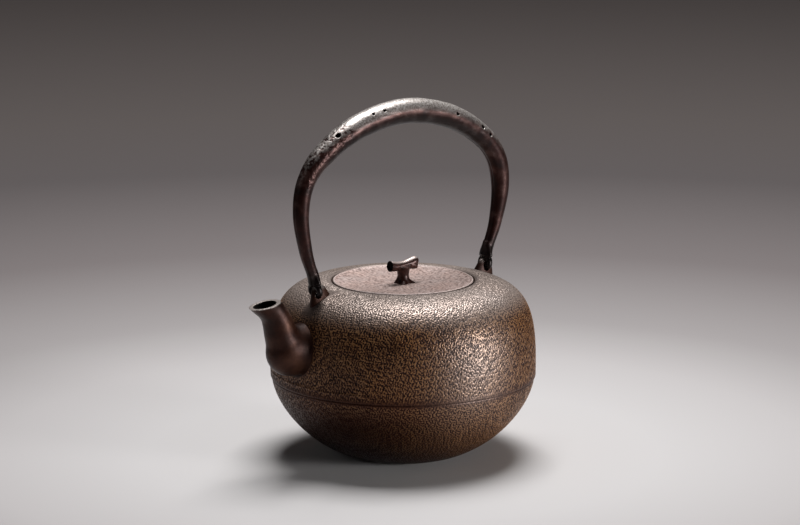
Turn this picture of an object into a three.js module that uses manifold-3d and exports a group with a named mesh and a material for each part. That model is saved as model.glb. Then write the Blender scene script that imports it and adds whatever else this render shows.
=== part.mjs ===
// A cast-iron tea kettle: a round two-part casting with a spout and two ears,
// a hollow forged handle hooked into the ears, and a dished drop-in lid with a twig knob.
// Millimetres, +Z up. The origin is the centre of the flat that the kettle stands on.
// The spout points along -X, and the handle stands in the XZ plane.
import * as THREE from 'three';
import { mergeVertices } from 'three/addons/utils/BufferGeometryUtils.js';
import Module from 'manifold-3d';

const wasm = await Module();
wasm.setup();

// Casting: the bowl below the parting line and the shoulder above it.
const bodyRadius = 85;
const baseRadius = 34;
const rimHeight = 112.8;
const partingHeight = 50.5;
const partingStep = 0.7;
const wall = 3;

// Lid seat: a recess in the shoulder with a ledge round the mouth.
const seatRadius = 45.3;
const seatDepth = 2.5;
const mouthRadius = 41;

// Lid.
const lidClearance = 0.3;
const lidDish = 2.4;
const lidThickness = 2.4;
const lidBead = 1.5;
const lidLip = 0.8;
const lidCrestDrop = 0.1;
const flangeDepth = 7;
const flangeThickness = 2;
const flangeClearance = 0.4;

// Knob: a stem that carries a short twig, and a tang riveted over a washer.
const stemRadius = 3.5;
const stemFootRadius = 5.2;
const stemHeight = 11;
const twigLength = 21.5;
const twigRadius = 3.55;
const twigSag = 2.2;
const twigLift = 0.4;
const tangRadius = 2;
const washerRadius = 7;
const washerThickness = 1;
const rivetRadius = 3.4;
const rivetHeight = 1.2;

// Spout: how far it reaches past the body, the height of its mouth, and its radii.
const spoutReach = 23.5;
const spoutMouthHeight = 111.2;
const spoutRootHeight = 78.5;
const spoutBulbRadius = 15;
const spoutBulbHalfWidth = 12.8;
const spoutBulbReach = 5.5;
const spoutNeckRadius = 8;
const spoutMouthRadius = 8.2;
const spoutLipWall = 1.5;
const spoutMouthTilt = 10;

// Ears: fins on the shoulder, each with a cross hole for the two claws of a foot. The rear hole
// lies a little further in.
const earInset = 12.1;
const earLength = 14;
const earRise = 11.1;
const earThickness = 5.3;
const earRounding = 1.2;
const earCorner = 3;
const earSlopeRun = 5.5;
const earSlopeDrop = 4.5;
const clawHoleRadius = 2.1;
const clawHoleInset = 3.7;
const rearClawHoleInset = 5.9;
const clawHoleDrop = 6.4;

// Handle. Its sides stand out as far as the body does, and its rear leg is the stouter one.
const handleHeight = 229.25;
const handleOverhang = 0.6;
const handleApexRadius = 8.25;
const handleSideRadius = 5.1;
const handleRearRadius = 5.8;
const handleAnkleRadius = 3.6;
const handleFootRadius = 3.75;
const handleWall = 1.3;
const handleSolidShare = 0.2;
const footGap = 0.6;
const footOutset = 1.1;
const clawRadius = 1.5;
const clawSlack = 0.1;
const clawTipGap = 2.4;

// Clearance between solids that would otherwise share a curved face, and round holes.
const gap = 0.3;
const tangHoleRadius = tangRadius + gap;

// Faces round each form.
const bodyFaces = 48;
const spoutFaces = 18;
const handleFaces = 12;
const smallFaces = 8;

// Heights that follow from the values above.
const ledgeHeight = rimHeight - seatDepth;
const lidTop = rimHeight - lidDish;
const lidUnderside = lidTop - lidThickness;
const washerUnderside = lidUnderside - washerThickness;
const earTopHeight = shoulderHeight(bodyRadius - earInset - clawHoleInset) + earRise;
const clawHoleHeight = earTopHeight - clawHoleDrop;
const footHeight = earTopHeight + footGap;

// Turns a closed three.js geometry into a solid that can be joined and cut.
function solid(geometry) {
  const bare = geometry.clone();
  bare.deleteAttribute('normal');
  bare.deleteAttribute('uv');
  const merged = mergeVertices(bare, 1e-4);
  const corners = merged.index.array;
  const kept = [];
  for (let i = 0; i < corners.length; i += 3) {
    const [a, b, c] = [corners[i], corners[i + 1], corners[i + 2]];
    if (a !== b && b !== c && c !== a) kept.push(a, b, c);
  }
  const vertProperties = Float32Array.from(merged.attributes.position.array);
  return new wasm.Manifold(new wasm.Mesh({ numProp: 3, vertProperties, triVerts: Uint32Array.from(kept) }));
}

// Gives a solid back as a named mesh with its own material.
function piece(name, shape, color, roughness, metalness) {
  const { vertProperties, triVerts } = shape.getMesh();
  const geometry = new THREE.BufferGeometry();
  geometry.setAttribute('position', new THREE.Float32BufferAttribute(vertProperties, 3));
  geometry.setIndex(Array.from(triVerts));
  geometry.computeVertexNormals();
  const mesh = new THREE.Mesh(geometry, new THREE.MeshStandardMaterial({ color, roughness, metalness }));
  mesh.name = name;
  return mesh;
}

// A solid of revolution round Z, from an outline of radius and height.
function turned(outline, faces = bodyFaces) {
  const geometry = new THREE.LatheGeometry(outline.map(([r, z]) => new THREE.Vector2(r, z)), faces);
  return solid(geometry.rotateX(Math.PI / 2));
}

// A round bar from one point to another. A three.js cylinder stands along Y.
const up = new THREE.Vector3(0, 1, 0);
function bar(from, to, radius, faces = smallFaces * 2) {
  const along = new THREE.Vector3().subVectors(to, from);
  const geometry = new THREE.CylinderGeometry(radius, radius, along.length(), faces);
  geometry.applyQuaternion(new THREE.Quaternion().setFromUnitVectors(up, along.clone().normalize()));
  const middle = new THREE.Vector3().addVectors(from, to).multiplyScalar(0.5);
  return solid(geometry.translate(middle.x, middle.y, middle.z));
}

// A closed tube through rings. Each ring has a centre, two directions across and a radius.
function lofted(rings, faces) {
  const points = [];
  const triangles = [];
  for (const { centre, across, side, radius } of rings) {
    for (let j = 0; j < faces; j++) {
      const turn = (2 * Math.PI * j) / faces;
      const spoke = across.clone().multiplyScalar(Math.cos(turn)).addScaledVector(side, Math.sin(turn));
      points.push(...centre.clone().addScaledVector(spoke, radius).toArray());
    }
  }
  const last = (rings.length - 1) * faces;
  const start = points.length / 3;
  points.push(...rings[0].centre.toArray(), ...rings[rings.length - 1].centre.toArray());
  for (let j = 0; j < faces; j++) {
    const next = (j + 1) % faces;
    triangles.push(start, next, j, start + 1, last + j, last + next);
    for (let k = 0; k < last; k += faces) {
      triangles.push(k + j, k + next, k + faces + next, k + j, k + faces + next, k + faces + j);
    }
  }
  const geometry = new THREE.BufferGeometry();
  geometry.setAttribute('position', new THREE.Float32BufferAttribute(points, 3));
  geometry.setIndex(triangles);
  return solid(geometry);
}

// A smooth curve through points of three numbers, with one stretch between each two.
function smooth(points) {
  return new THREE.CatmullRomCurve3(points.map((p) => new THREE.Vector3(...p)), false, 'catmullrom', 0.5);
}

// Rings along a 3-D path, square to it. The radius follows its own list in step with the path.
function ringsAlong(path, radii, steps, from = 0, to = 1) {
  const rings = [];
  for (let i = 0; i <= steps; i++) {
    const t = from + ((to - from) * i) / steps;
    const forward = path.getTangent(t);
    const across = new THREE.Vector3(0, 1, 0).cross(forward);
    if (across.length() < 0.5) across.set(1, 0, 0);
    across.addScaledVector(forward, -across.dot(forward)).normalize();
    const side = new THREE.Vector3().crossVectors(forward, across);
    rings.push({ centre: path.getPoint(t), across, side, radius: radii.getPoint(t).x });
  }
  return rings;
}

// The casting's outline from the base to the rim, grown or shrunk square to its surface.
function bodyOutline(grow, bowlSteps = 8, shoulderSteps = 11) {
  const width = bodyRadius - baseRadius;
  const shoulder = bodyRadius - seatRadius;
  const height = rimHeight - partingHeight;
  const bowl = new THREE.CubicBezierCurve(
    new THREE.Vector2(baseRadius, 0),
    new THREE.Vector2(baseRadius + width * 0.51, partingHeight * 0.12),
    new THREE.Vector2(bodyRadius - width * 0.06, partingHeight * 0.61),
    new THREE.Vector2(bodyRadius - partingStep, partingHeight),
  );
  const top = new THREE.CubicBezierCurve(
    new THREE.Vector2(bodyRadius, partingHeight),
    new THREE.Vector2(bodyRadius + shoulder * 0.02, partingHeight + height * 0.68),
    new THREE.Vector2(bodyRadius - shoulder * 0.085, rimHeight - height * 0.02),
    new THREE.Vector2(seatRadius, rimHeight),
  );
  const points = [];
  for (const [curve, steps] of [[bowl, bowlSteps], [top, shoulderSteps]]) {
    for (let i = 0; i <= steps; i++) {
      const { x, y } = curve.getPoint(i / steps);
      const forward = curve.getTangent(i / steps);
      points.push([x + grow * forward.y, y - grow * forward.x]);
    }
  }
  return points;
}

// How high the shoulder's surface lies at a radius.
function shoulderHeight(radius) {
  const points = bodyOutline(0).filter(([, z]) => z > partingHeight);
  const next = points.findIndex(([r]) => r < radius);
  const [[outerR, lowZ], [innerR, highZ]] = points.slice(next - 1, next + 1);
  return THREE.MathUtils.mapLinear(radius, outerR, innerR, lowZ, highZ);
}

// The casting's outside as a solid, with its own clearance to what is cut by it.
function bodyOutside(grow = 0) {
  return turned([[0, -grow], ...bodyOutline(grow), [0, rimHeight + grow]]);
}

// The space inside the casting. Its roof stays a wall below the lid's ledge.
function bodyInside() {
  const roof = ledgeHeight - wall;
  const outline = bodyOutline(-wall, 6, 8).map(([r, z]) => [r, Math.min(z, roof)]);
  return turned([[0, wall], ...outline, [0, roof]]);
}

// The spout's bulb: a short level stub with a round end, taller than wide. The inset makes its hollow.
function spoutBulb(inset) {
  const radius = spoutBulbRadius - inset;
  const start = bodyRadius - 5 * wall;
  const outline = [[0, start], [radius * 1.1, start], [radius * 1.07, bodyRadius - wall]];
  for (let i = 0; i <= 6; i++) {
    const turn = (Math.PI / 12) * i;
    outline.push([radius * Math.cos(turn), bodyRadius + spoutBulbReach + radius * Math.sin(turn)]);
  }
  const level = turned(outline, spoutFaces).rotate([0, -90, 0]);
  return level.scale([1, spoutBulbHalfWidth / spoutBulbRadius, 1]).translate([0, 0, spoutRootHeight]);
}

// The neck rises out of the bulb, then leans outwards. It runs past the mouth, where it is cut.
function spoutNeck(insetLow, insetHigh) {
  const rise = spoutMouthHeight - spoutRootHeight;
  const stations = [
    [0.13, -0.03, spoutNeckRadius * 1.42],
    [0.4, 0.12, spoutNeckRadius * 1.33],
    [0.51, 0.33, spoutNeckRadius * 1.21],
    [0.58, 0.56, spoutNeckRadius * 1.14],
    [0.72, 0.79, spoutNeckRadius * 1.03],
    [0.86, 0.9, spoutNeckRadius],
    [1, 1, spoutMouthRadius],
    [1.3, 1.2, spoutMouthRadius * 1.05],
  ];
  const path = smooth(stations.map(([out, high]) => {
    return [-bodyRadius - spoutReach * out, 0, spoutRootHeight + rise * high];
  }));
  const last = stations.length - 1;
  const radii = smooth(stations.map(([, , radius], i) => {
    return [radius - THREE.MathUtils.lerp(insetLow, insetHigh, i / last), 0, 0];
  }));
  return lofted(ringsAlong(path, radii, 14), spoutFaces);
}

function spoutBore() {
  return spoutBulb(wall).add(spoutNeck(wall, spoutLipWall));
}

// What lies above the mouth's plane, which dips a little towards the outer lip.
function aboveMouth() {
  const size = spoutBulbRadius * 4;
  const block = new THREE.BoxGeometry(size, size, size).translate(0, 0, size / 2);
  block.rotateY(-THREE.MathUtils.degToRad(spoutMouthTilt));
  return solid(block.translate(-bodyRadius - spoutReach, 0, spoutMouthHeight));
}

function makeBody() {
  const top = rimHeight + wall;
  const low = ledgeHeight - 1.5 * wall;
  const mouth = turned([[0, low], [mouthRadius, low], [mouthRadius, top], [0, top]]);
  const seat = turned([[0, ledgeHeight], [seatRadius, ledgeHeight], [seatRadius, top], [0, top]]);
  return bodyOutside().subtract(bodyInside()).subtract(mouth).subtract(seat).subtract(spoutBore());
}

function makeSpout() {
  const outside = spoutBulb(0).add(spoutNeck(0, 0)).subtract(aboveMouth());
  return outside.subtract(spoutBore()).subtract(bodyOutside(gap));
}

// How far out an ear's ends, its cross hole and the foot above it lie. Side is -1 at the spout
// and 1 at the rear.
function earPlaces(side) {
  const outer = bodyRadius - earInset;
  const hole = outer - (side < 0 ? clawHoleInset : rearClawHoleInset);
  return { outer, inner: outer - earLength, hole, foot: hole + footOutset };
}

// One ear's slab with its cross hole. Grown, it is the room that a foot leaves to it.
function earSlab(side, grow) {
  const ear = earPlaces(side);
  const rounding = earRounding;
  const inner = ear.inner - grow + rounding;
  const outer = ear.outer + grow - rounding;
  const low = shoulderHeight(ear.outer) - 4 * wall;
  const crest = earTopHeight + grow;
  const slopeStart = ear.inner + earSlopeRun;
  const slopeEnd = ear.inner + earSlopeRun * 0.25;
  const outline = new THREE.Shape();
  outline.moveTo(inner, low);
  outline.lineTo(outer, low);
  outline.lineTo(outer, crest - earCorner);
  outline.quadraticCurveTo(outer, crest - rounding, ear.outer - earCorner, crest - rounding);
  outline.lineTo(slopeStart, crest - rounding);
  outline.quadraticCurveTo((slopeStart + slopeEnd) / 2, crest - rounding, slopeEnd, crest - earSlopeDrop);
  outline.lineTo(inner, shoulderHeight(ear.inner) - rounding);
  const slab = new THREE.ExtrudeGeometry(outline, {
    depth: earThickness + 2 * grow - 2 * rounding,
    curveSegments: 5,
    bevelThickness: rounding,
    bevelSize: rounding,
    bevelSegments: 2,
  });
  slab.translate(0, 0, rounding - earThickness / 2 - grow).rotateX(Math.PI / 2);
  const reach = earThickness;
  const hole = bar(
    new THREE.Vector3(ear.hole, -reach, clawHoleHeight),
    new THREE.Vector3(ear.hole, reach, clawHoleHeight),
    clawHoleRadius - grow,
  );
  return solid(slab).subtract(hole).rotate([0, 0, side < 0 ? 180 : 0]);
}

function makeEar(side) {
  return earSlab(side, 0).subtract(bodyOutside(gap));
}

// The handle's middle line, from the spout side's foot over the top to the rear foot.
function handleStations() {
  const top = handleHeight - handleApexRadius;
  return [...handleLeg(-1, top), [0, top, handleApexRadius], ...handleLeg(1, top).reverse()];
}

// Stations up one leg: how far out, how high and how thick.
function handleLeg(side, top) {
  const { foot } = earPlaces(side);
  const sideRadius = side < 0 ? handleSideRadius : handleRearRadius;
  const widest = bodyRadius + handleOverhang - sideRadius;
  const bow = widest - foot;
  const rise = top - footHeight;
  return [
    [foot, 0, handleFootRadius],
    [foot + bow * 0.2, 0.075, handleAnkleRadius],
    [foot + bow * 0.66, 0.215, handleAnkleRadius * 1.18],
    [widest, 0.44, sideRadius],
    [widest * 0.95, 0.638, sideRadius * 1.15],
    [widest * 0.775, 0.797, handleApexRadius * 0.88],
    [widest * 0.44, 0.939, handleApexRadius * 0.97],
  ].map(([out, share, radius]) => [side * out, footHeight + rise * share, radius]);
}

// Worm holes: place along the handle from 0 to 1, turn from the crown towards the front, radius.
const wormHoles = [
  [0.388, 40, 1.7],
  [0.448, 44, 0.9],
  [0.464, 50, 0.9],
  [0.578, 70, 1],
  [0.632, 62, 0.9],
  [0.654, 68, 1],
];

function makeHandle() {
  const stations = handleStations();
  const path = smooth(stations.map(([x, z]) => [x, 0, z]));
  const radii = smooth(stations.map(([, , radius]) => [radius, 0, 0]));
  const inner = smooth(stations.map(([, , radius]) => [radius - handleWall, 0, 0]));
  let handle = lofted(ringsAlong(path, radii, 36), handleFaces);
  const hollow = ringsAlong(path, inner, 18, handleSolidShare, 1 - handleSolidShare);
  handle = handle.subtract(lofted(hollow, smallFaces));
  for (const [place, turn, radius] of wormHoles) {
    const [ring] = ringsAlong(path, radii, 1, place, place + 0.01);
    const angle = THREE.MathUtils.degToRad(turn);
    const crown = new THREE.Vector3(0, -1, 0).cross(path.getTangent(place));
    const out = crown.multiplyScalar(Math.cos(angle)).add(new THREE.Vector3(0, -Math.sin(angle), 0));
    const end = ring.centre.clone().addScaledVector(out, ring.radius + handleWall);
    handle = handle.subtract(bar(ring.centre, end, radius, smallFaces));
  }
  for (const side of [-1, 1]) {
    for (const front of [-1, 1]) handle = handle.add(claw(side, front));
    handle = handle.subtract(earSlab(side, gap));
  }
  return handle;
}

// One claw: it leaves the foot, passes outside the ear and hooks into the cross hole.
// Each station has its shares of the way inwards and down to the hole, its distance from the
// handle's plane, and its radius.
function claw(side, front) {
  const { foot, hole } = earPlaces(side);
  const clear = earThickness / 2 + gap + clawRadius + clawSlack;
  const tip = clawTipGap / 2;
  const thin = clawHoleRadius - 2 * gap;
  const stations = [
    [0, 0, tip, clawRadius * 1.6],
    [0.15, 0.24, clear * 0.78, clawRadius * 1.3],
    [0.46, 0.5, clear + clawSlack, clawRadius],
    [0.9, 0.88, clear, clawRadius],
    [1, 1, earThickness / 2 - clawSlack, thin],
    [1, 1, tip, thin],
  ];
  const path = smooth(stations.map(([inwards, down, apart]) => [
    side * THREE.MathUtils.lerp(foot, hole, inwards),
    front * apart,
    THREE.MathUtils.lerp(footHeight, clawHoleHeight, down),
  ]));
  return lofted(clawRings(path, smooth(stations.map(([, , , radius]) => [radius, 0, 0]))), smallFaces);
}

// Rings of a claw, with a frame that doesn't twist as the path bends inwards.
function clawRings(path, radii) {
  const steps = 11;
  const frames = path.computeFrenetFrames(steps, false);
  const rings = [];
  for (let i = 0; i <= steps; i++) {
    const u = path.getUtoTmapping(i / steps);
    rings.push({
      centre: path.getPoint(u),
      across: frames.normals[i],
      side: frames.binormals[i],
      radius: radii.getPoint(u).x,
    });
  }
  return rings;
}

// The lid: a dished plate with a rounded rim, a flange that drops into the mouth and a hole.
function makeLid() {
  const radius = seatRadius - lidClearance;
  const flange = mouthRadius - flangeClearance;
  const crest = rimHeight - lidCrestDrop;
  const dishEdge = radius - lidBead * 1.6;
  const dish = [];
  for (let i = 1; i <= 4; i++) {
    const share = i / 4;
    const rise = (lidDish - lidLip) * share ** 2;
    dish.push([THREE.MathUtils.lerp(washerRadius, dishEdge, share), lidTop + rise]);
  }
  return turned([
    [tangHoleRadius, lidUnderside],
    [flange - flangeThickness, lidUnderside],
    [flange - flangeThickness, ledgeHeight - flangeDepth],
    [flange, ledgeHeight - flangeDepth],
    [flange, ledgeHeight],
    [radius, ledgeHeight],
    [radius, crest - lidBead * 0.4],
    [radius - lidBead * 0.3, crest - lidBead * 0.07],
    [radius - lidBead * 0.75, crest],
    [radius - lidBead * 1.2, crest - lidBead * 0.17],
    ...dish.reverse(),
    [washerRadius, lidTop],
    [tangHoleRadius, lidTop],
    [tangHoleRadius, lidUnderside],
  ]);
}

// The knob: stem, sagging twig, tang through the lid and the head hammered over inside.
function makeKnob() {
  const stem = turned([
    [0, lidTop],
    [stemFootRadius, lidTop],
    [stemFootRadius * 0.82, lidTop + stemHeight * 0.1],
    [stemRadius * 1.02, lidTop + stemHeight * 0.32],
    [stemRadius, lidTop + stemHeight * 0.6],
    [stemRadius * 1.1, lidTop + stemHeight],
    [0, lidTop + stemHeight],
  ], smallFaces * 2);
  const axis = lidTop + stemHeight + twigLift;
  const half = twigLength / 2;
  const path = smooth([
    [-half, 0, axis + twigSag * 0.3],
    [-half * 0.55, 0, axis - twigSag * 0.2],
    [0, 0, axis],
    [half * 0.5, 0, axis + twigSag * 0.35],
    [half, 0, axis + twigSag],
  ]);
  const radii = smooth([1, 0.8, 0.76, 0.85, 1].map((share) => [twigRadius * share, 0, 0]));
  const twig = lofted(ringsAlong(path, radii, 10), handleFaces);
  const head = washerUnderside - rivetHeight;
  const tang = turned([
    [0, head],
    [rivetRadius * 0.75, head],
    [rivetRadius, head + rivetHeight * 0.5],
    [rivetRadius, washerUnderside],
    [tangRadius, washerUnderside],
    [tangRadius, lidTop + twigLift],
    [0, lidTop + twigLift],
  ], smallFaces * 2);
  return stem.add(twig).add(tang);
}

function makeWasher() {
  return turned([
    [tangHoleRadius, washerUnderside],
    [washerRadius, washerUnderside],
    [washerRadius, lidUnderside],
    [tangHoleRadius, lidUnderside],
    [tangHoleRadius, washerUnderside],
  ], smallFaces * 2);
}

const castIron = 0x4a3424;
const smoothIron = 0x3c2e28;
const forgedIron = 0x5a4a46;

const kettle = new THREE.Group();
kettle.add(piece('kettle_body', makeBody(), castIron, 0.6, 0.6));
kettle.add(piece('spout', makeSpout(), smoothIron, 0.5, 0.6));
kettle.add(piece('ear_spout_side', makeEar(-1), smoothIron, 0.45, 0.6));
kettle.add(piece('ear_rear', makeEar(1), smoothIron, 0.45, 0.6));
kettle.add(piece('handle', makeHandle(), forgedIron, 0.45, 0.7));
kettle.add(piece('lid', makeLid(), 0x8d7468, 0.5, 0.7));
kettle.add(piece('lid_knob', makeKnob(), 0x33241d, 0.35, 0.7));
kettle.add(piece('knob_washer', makeWasher(), 0x6b4a2c, 0.5, 0.8));

export default kettle;
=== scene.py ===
# %% [markdown]
# # A cast-iron tea kettle, dressed piece by piece
# The kettle is five things on a bench: a casting, a forged handle, a lid, a knob and a washer.
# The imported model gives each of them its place, so every number below is either read from it
# or is a real size in millimetres. Each cell makes one piece or one finish and prints what it made.

# %% Load the frame
import math

import bpy
import numpy as np
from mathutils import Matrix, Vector, noise


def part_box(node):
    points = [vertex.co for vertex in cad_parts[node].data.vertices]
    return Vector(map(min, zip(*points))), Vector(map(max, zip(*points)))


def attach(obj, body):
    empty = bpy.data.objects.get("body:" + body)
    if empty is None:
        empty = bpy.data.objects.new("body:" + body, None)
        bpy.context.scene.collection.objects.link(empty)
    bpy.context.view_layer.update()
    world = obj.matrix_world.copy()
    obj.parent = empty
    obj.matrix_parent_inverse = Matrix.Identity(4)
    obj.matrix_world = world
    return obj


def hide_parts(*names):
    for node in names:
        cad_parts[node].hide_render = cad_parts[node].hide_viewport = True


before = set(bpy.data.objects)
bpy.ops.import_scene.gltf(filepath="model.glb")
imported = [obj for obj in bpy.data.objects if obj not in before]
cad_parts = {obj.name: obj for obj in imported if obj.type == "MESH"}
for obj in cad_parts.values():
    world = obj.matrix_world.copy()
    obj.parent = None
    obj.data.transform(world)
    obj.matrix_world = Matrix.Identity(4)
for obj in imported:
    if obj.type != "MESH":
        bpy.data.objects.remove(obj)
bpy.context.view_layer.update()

MM = 0.001
FINE = 1.0
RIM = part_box("kettle_body")[1].z
print("nodes:", sorted(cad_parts), "rim height", round(RIM / MM, 1), "mm")

# %% [markdown]
# ## Camera
# The photograph looks along the handle's plane from the spout's side, a little from above.
# A long lens from two metres keeps the verticals straight, as a studio camera would.
# The aim is a point on the kettle's axis, shifted until the base sits where the photo has it.

# %% Place the camera
AZIMUTH, PITCH = math.radians(-38), math.radians(12)
DISTANCE, LENS, SENSOR = 2.165, 153, 36
AIM_HEIGHT, AIM_SIDE = 123.44 * MM, -2 * MM

level = Vector((-math.sin(AZIMUTH), math.cos(AZIMUTH), 0))
forward = level * math.cos(PITCH) - Vector((0, 0, math.sin(PITCH)))
right = Vector((math.cos(AZIMUTH), math.sin(AZIMUTH), 0))
camera = bpy.data.objects.new("camera", bpy.data.cameras.new("camera"))
camera.data.lens, camera.data.sensor_width = LENS, SENSOR
camera.data.clip_start, camera.data.clip_end = 0.1, 50
camera.location = Vector((0, 0, AIM_HEIGHT)) + right * AIM_SIDE - forward * DISTANCE
camera.rotation_mode = "QUATERNION"
camera.rotation_quaternion = forward.to_track_quat("-Z", "Y")
bpy.context.scene.collection.objects.link(camera)
bpy.context.scene.camera = camera
bpy.context.scene.view_settings.view_transform = "Standard"
print("camera at", [round(x, 3) for x in camera.location])

# %% [markdown]
# ## Colours and nodes
# Colours are written the way a photo shows them, as sRGB hex, and one function turns them into
# the linear numbers that Blender works in. One more function adds a node and wires it up.


# %% Two helpers for materials
def srgb(code):
    """The linear colour of an sRGB hex code."""
    parts = [int(code[i : i + 2], 16) / 255 for i in (1, 3, 5)]
    return tuple(p / 12.92 if p <= 0.04045 else ((p + 0.055) / 1.055) ** 2.4 for p in parts) + (1.0,)


def add(material, kind, inputs=None, stops=(), **settings):
    """Adds a node. Inputs are values or other nodes' sockets, and stops are a ramp's colours."""
    made = material.node_tree.nodes.new(kind)
    for name, value in settings.items():
        setattr(made, name, value)
    for i, (place, color) in enumerate(stops):
        element = made.color_ramp.elements[i] if i < 2 else made.color_ramp.elements.new(place)
        element.position, element.color = place, color
    for name, value in (inputs or {}).items():
        if isinstance(value, bpy.types.NodeSocket):
            material.node_tree.links.new(value, made.inputs[name])
        else:
            made.inputs[name].default_value = value
    return made


def new_material(name):
    """An empty material with its Principled shader, wired to the output."""
    material = bpy.data.materials.new(name)
    material.use_nodes = True
    return material, material.node_tree.nodes["Principled BSDF"]


print("srgb #808080 is", round(srgb("#808080")[0], 3), "linear")

# %% [markdown]
# ## Cast iron under baked lacquer, with a pebbled skin
# The mould's wall was dabbed with coarse clay, which leaves a maze of low ridges in the iron.
# The casting is heated and wiped with lacquer and a rust-and-tea dye, so it is brown, not grey.
# The film is thin, so part of what shines is the oxidised iron below it, whose reflection is as
# brown as its colour. The shader is therefore part metal, and more so where the soot and the
# painted shade lie, so that their reflection is dark brown as well.
# The film wears off the ridge tips, which go lighter, and gathers in the hollows, which stay
# nearly black. The top of the shoulder is a paler taupe, partly rubbed by cloths and partly a
# painted highlight of the light above, and a paler patch on the cheek is a painted highlight of
# the softbox. The bowl is darker under the spout, towards the base and in the parting groove:
# fire soot under the spout and at the base, and painted shade in all three.
# A bump texture could draw the ridges more cheaply, but they break up the outline and catch the
# light that skims the shoulder, so they are real geometry. The mesh carries their height, the
# rubbing with the painted highlights and the soot with the painted shade as attributes, so that
# colour and relief always agree.

# %% Pebbled cast iron
GRAIN = 0.8 * MM
CLOUD = 34 * MM
SPECKLE = 0.6
pebbled_iron, skin = new_material("lacquered_cast_iron_pebbled")
place = add(pebbled_iron, "ShaderNodeTexCoord").outputs["Object"]
relief = add(pebbled_iron, "ShaderNodeAttribute", attribute_name="relief").outputs["Fac"]
wear_and_highlight = add(pebbled_iron, "ShaderNodeAttribute", attribute_name="wear_and_highlight").outputs["Fac"]
soot_and_shade = add(pebbled_iron, "ShaderNodeAttribute", attribute_name="soot_and_shade").outputs["Fac"]
inside = add(pebbled_iron, "ShaderNodeAttribute", attribute_name="inside").outputs["Fac"]
grain = add(
    pebbled_iron, "ShaderNodeTexNoise", {"Vector": place, "Scale": 1 / GRAIN, "Detail": 3}
).outputs["Fac"]
cloud = add(
    pebbled_iron, "ShaderNodeTexNoise", {"Vector": place, "Scale": 1 / CLOUD, "Detail": 4}
).outputs["Fac"]
speckle = add(pebbled_iron, "ShaderNodeMath", {0: grain, 1: 0.5}, operation="SUBTRACT").outputs[0]
mottled = add(
    pebbled_iron, "ShaderNodeMath", {0: speckle, 1: SPECKLE, 2: relief}, operation="MULTIPLY_ADD"
).outputs[0]
ridges = add(
    pebbled_iron,
    "ShaderNodeValToRGB",
    {"Fac": mottled},
    [(0.05, srgb("#1c0b06")), (0.4, srgb("#3a2013")), (0.68, srgb("#60402a")), (0.95, srgb("#93724f"))],
).outputs["Color"]
tint = add(
    pebbled_iron,
    "ShaderNodeValToRGB",
    {"Fac": cloud},
    [(0.36, srgb("#cdb5aa")), (0.5, srgb("#eedccf")), (0.66, srgb("#f2d6b4"))],
).outputs["Color"]
toned = add(
    pebbled_iron, "ShaderNodeMix", {0: 0.75, 6: ridges, 7: tint}, data_type="RGBA", blend_type="MULTIPLY"
).outputs[2]
on_ridge = add(pebbled_iron, "ShaderNodeMapRange", {0: mottled, 1: 0.2, 2: 0.8, 3: 0.3, 4: 1.0}).outputs[0]
# Ridge tips go pale taupe where cloths rubbed them and where a painted highlight lies on the shoulder top
# and the cheek.
bared_and_highlit = add(pebbled_iron, "ShaderNodeMath", {0: on_ridge, 1: wear_and_highlight}, operation="MULTIPLY").outputs[0]
# The bowl goes near black with soot and painted shade under the spout and at the base, and with painted
# shade in the groove.
sooted_and_shaded = add(
    pebbled_iron, "ShaderNodeMix", {0: soot_and_shade, 6: toned, 7: srgb("#260c05")}, data_type="RGBA"
).outputs[2]
rubbed_and_highlit = add(
    pebbled_iron, "ShaderNodeMix", {0: bared_and_highlit, 6: sooted_and_shaded, 7: srgb("#b4a7a0")}, data_type="RGBA"
).outputs[2]
colour = add(
    pebbled_iron, "ShaderNodeMix", {0: inside, 6: rubbed_and_highlit, 7: srgb("#3f3a38")}, data_type="RGBA"
).outputs[2]
rough = add(pebbled_iron, "ShaderNodeMapRange", {0: relief, 3: 0.6, 4: 0.33}).outputs[0]
hollow_share = add(pebbled_iron, "ShaderNodeMapRange", {0: relief, 3: 0.6, 4: 0.28}).outputs[0]
# More metal where the soot and the painted shade lie, so that their reflection is dark brown too.
dark_metal_share = add(
    pebbled_iron, "ShaderNodeMath", {0: soot_and_shade, 1: 0.4, 2: hollow_share}, operation="MULTIPLY_ADD"
).outputs[0]
metal_share = add(
    pebbled_iron, "ShaderNodeMath", {0: bared_and_highlit, 1: 0.3, 2: dark_metal_share}, operation="MULTIPLY_ADD", use_clamp=True
).outputs[0]
bump = add(
    pebbled_iron, "ShaderNodeBump", {"Strength": 0.5, "Distance": 0.1 * MM, "Height": grain}
).outputs[0]
pebbled_iron.node_tree.links.new(colour, skin.inputs["Base Color"])
pebbled_iron.node_tree.links.new(rough, skin.inputs["Roughness"])
pebbled_iron.node_tree.links.new(metal_share, skin.inputs["Metallic"])
pebbled_iron.node_tree.links.new(bump, skin.inputs["Normal"])
skin.inputs["IOR"].default_value = 1.4
print("pebbled iron: grain", GRAIN / MM, "mm")

# %% [markdown]
# ## Smooth cast iron: spout and ears
# These came from their own mould sections, which were dressed smooth. The same lacquer lies in
# an even film over dark oxide, so the gloss is broader and the brown darker. Hands and cloths
# have rubbed the lip, where the film is thin and the iron shows grey, and the ears' crests are
# painted the same grey as a painted highlight of the light above.

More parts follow.
